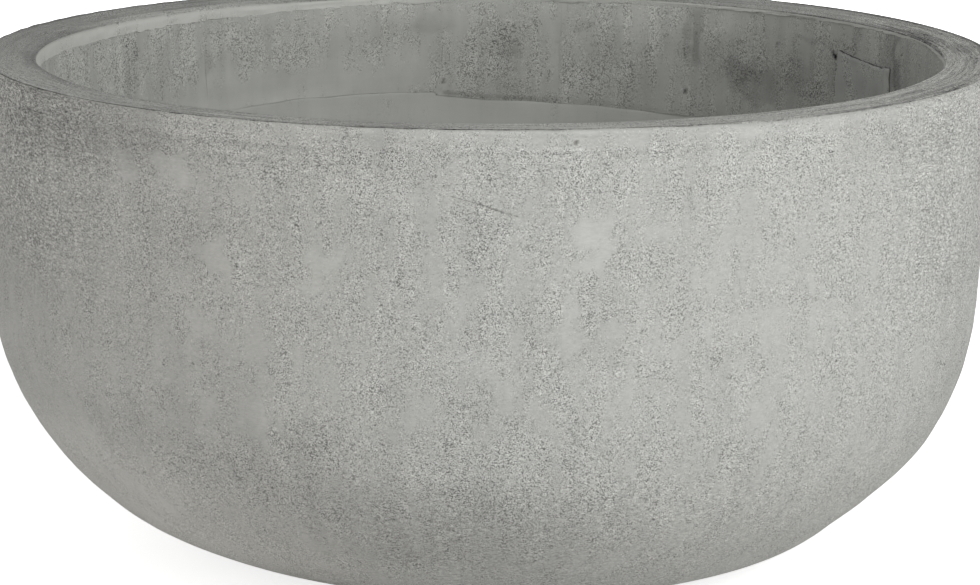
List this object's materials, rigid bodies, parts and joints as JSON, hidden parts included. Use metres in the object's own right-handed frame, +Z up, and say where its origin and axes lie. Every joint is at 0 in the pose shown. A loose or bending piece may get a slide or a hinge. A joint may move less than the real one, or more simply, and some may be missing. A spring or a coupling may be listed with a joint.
{
  "type": "bowl planter",
  "caption": "Round concrete bowl planter with a wide trowelled rim, a hand-laid lining, and a floor drain closed by a lift-out rubber plug.",
  "frame": {"origin": "middle of the footprint, on the ground under the foot pads", "axes": "+Z up along the bowl's axis of turning, -Y towards the side that the picture shows, +X to the right"},
  "size_m": [0.7997, 0.7998, 0.394],
  "materials": {
    "cast_concrete": "matte bare cast concrete, finely pitted",
    "trowelled_concrete": "matte trowelled concrete",
    "laid_sheet": "matte hand-laid cement sheet",
    "smooth_lining": "matte smooth cement",
    "patch_cement": "matte cement",
    "steel_bar": "plain bar steel",
    "black_plastic": "matte moulded plastic",
    "black_rubber": "matte moulded rubber"
  },
  "bodies": {
    "planter": {"bowl_shell": "cast_concrete", "rim_hoop": "steel_bar", "rim_topping": "trowelled_concrete", "wall_sheet_1": "laid_sheet", "wall_sheet_2": "laid_sheet", "wall_sheet_3": "laid_sheet", "wall_sheet_4": "laid_sheet", "wall_sheet_5": "laid_sheet", "wall_sheet_6": "laid_sheet", "wall_sheet_7": "laid_sheet", "wall_sheet_8": "laid_sheet", "wall_sheet_9": "laid_sheet", "wall_sheet_10": "laid_sheet", "wall_sheet_11": "laid_sheet", "floor_lining": "smooth_lining", "repair_patch": "patch_cement", "drain_sleeve": "black_plastic", "foot_pad_1": "black_rubber", "foot_pad_2": "black_rubber", "foot_pad_3": "black_rubber", "foot_pad_4": "black_rubber"},
    "plug": {"drain_plug": "black_rubber"}
  },
  "joints": [
    {"name": "drain_plug_lift", "type": "slide", "parent": "planter", "child": "plug", "axis": [0, 0, 1], "range_m": [0, 0.4]}
  ]
}
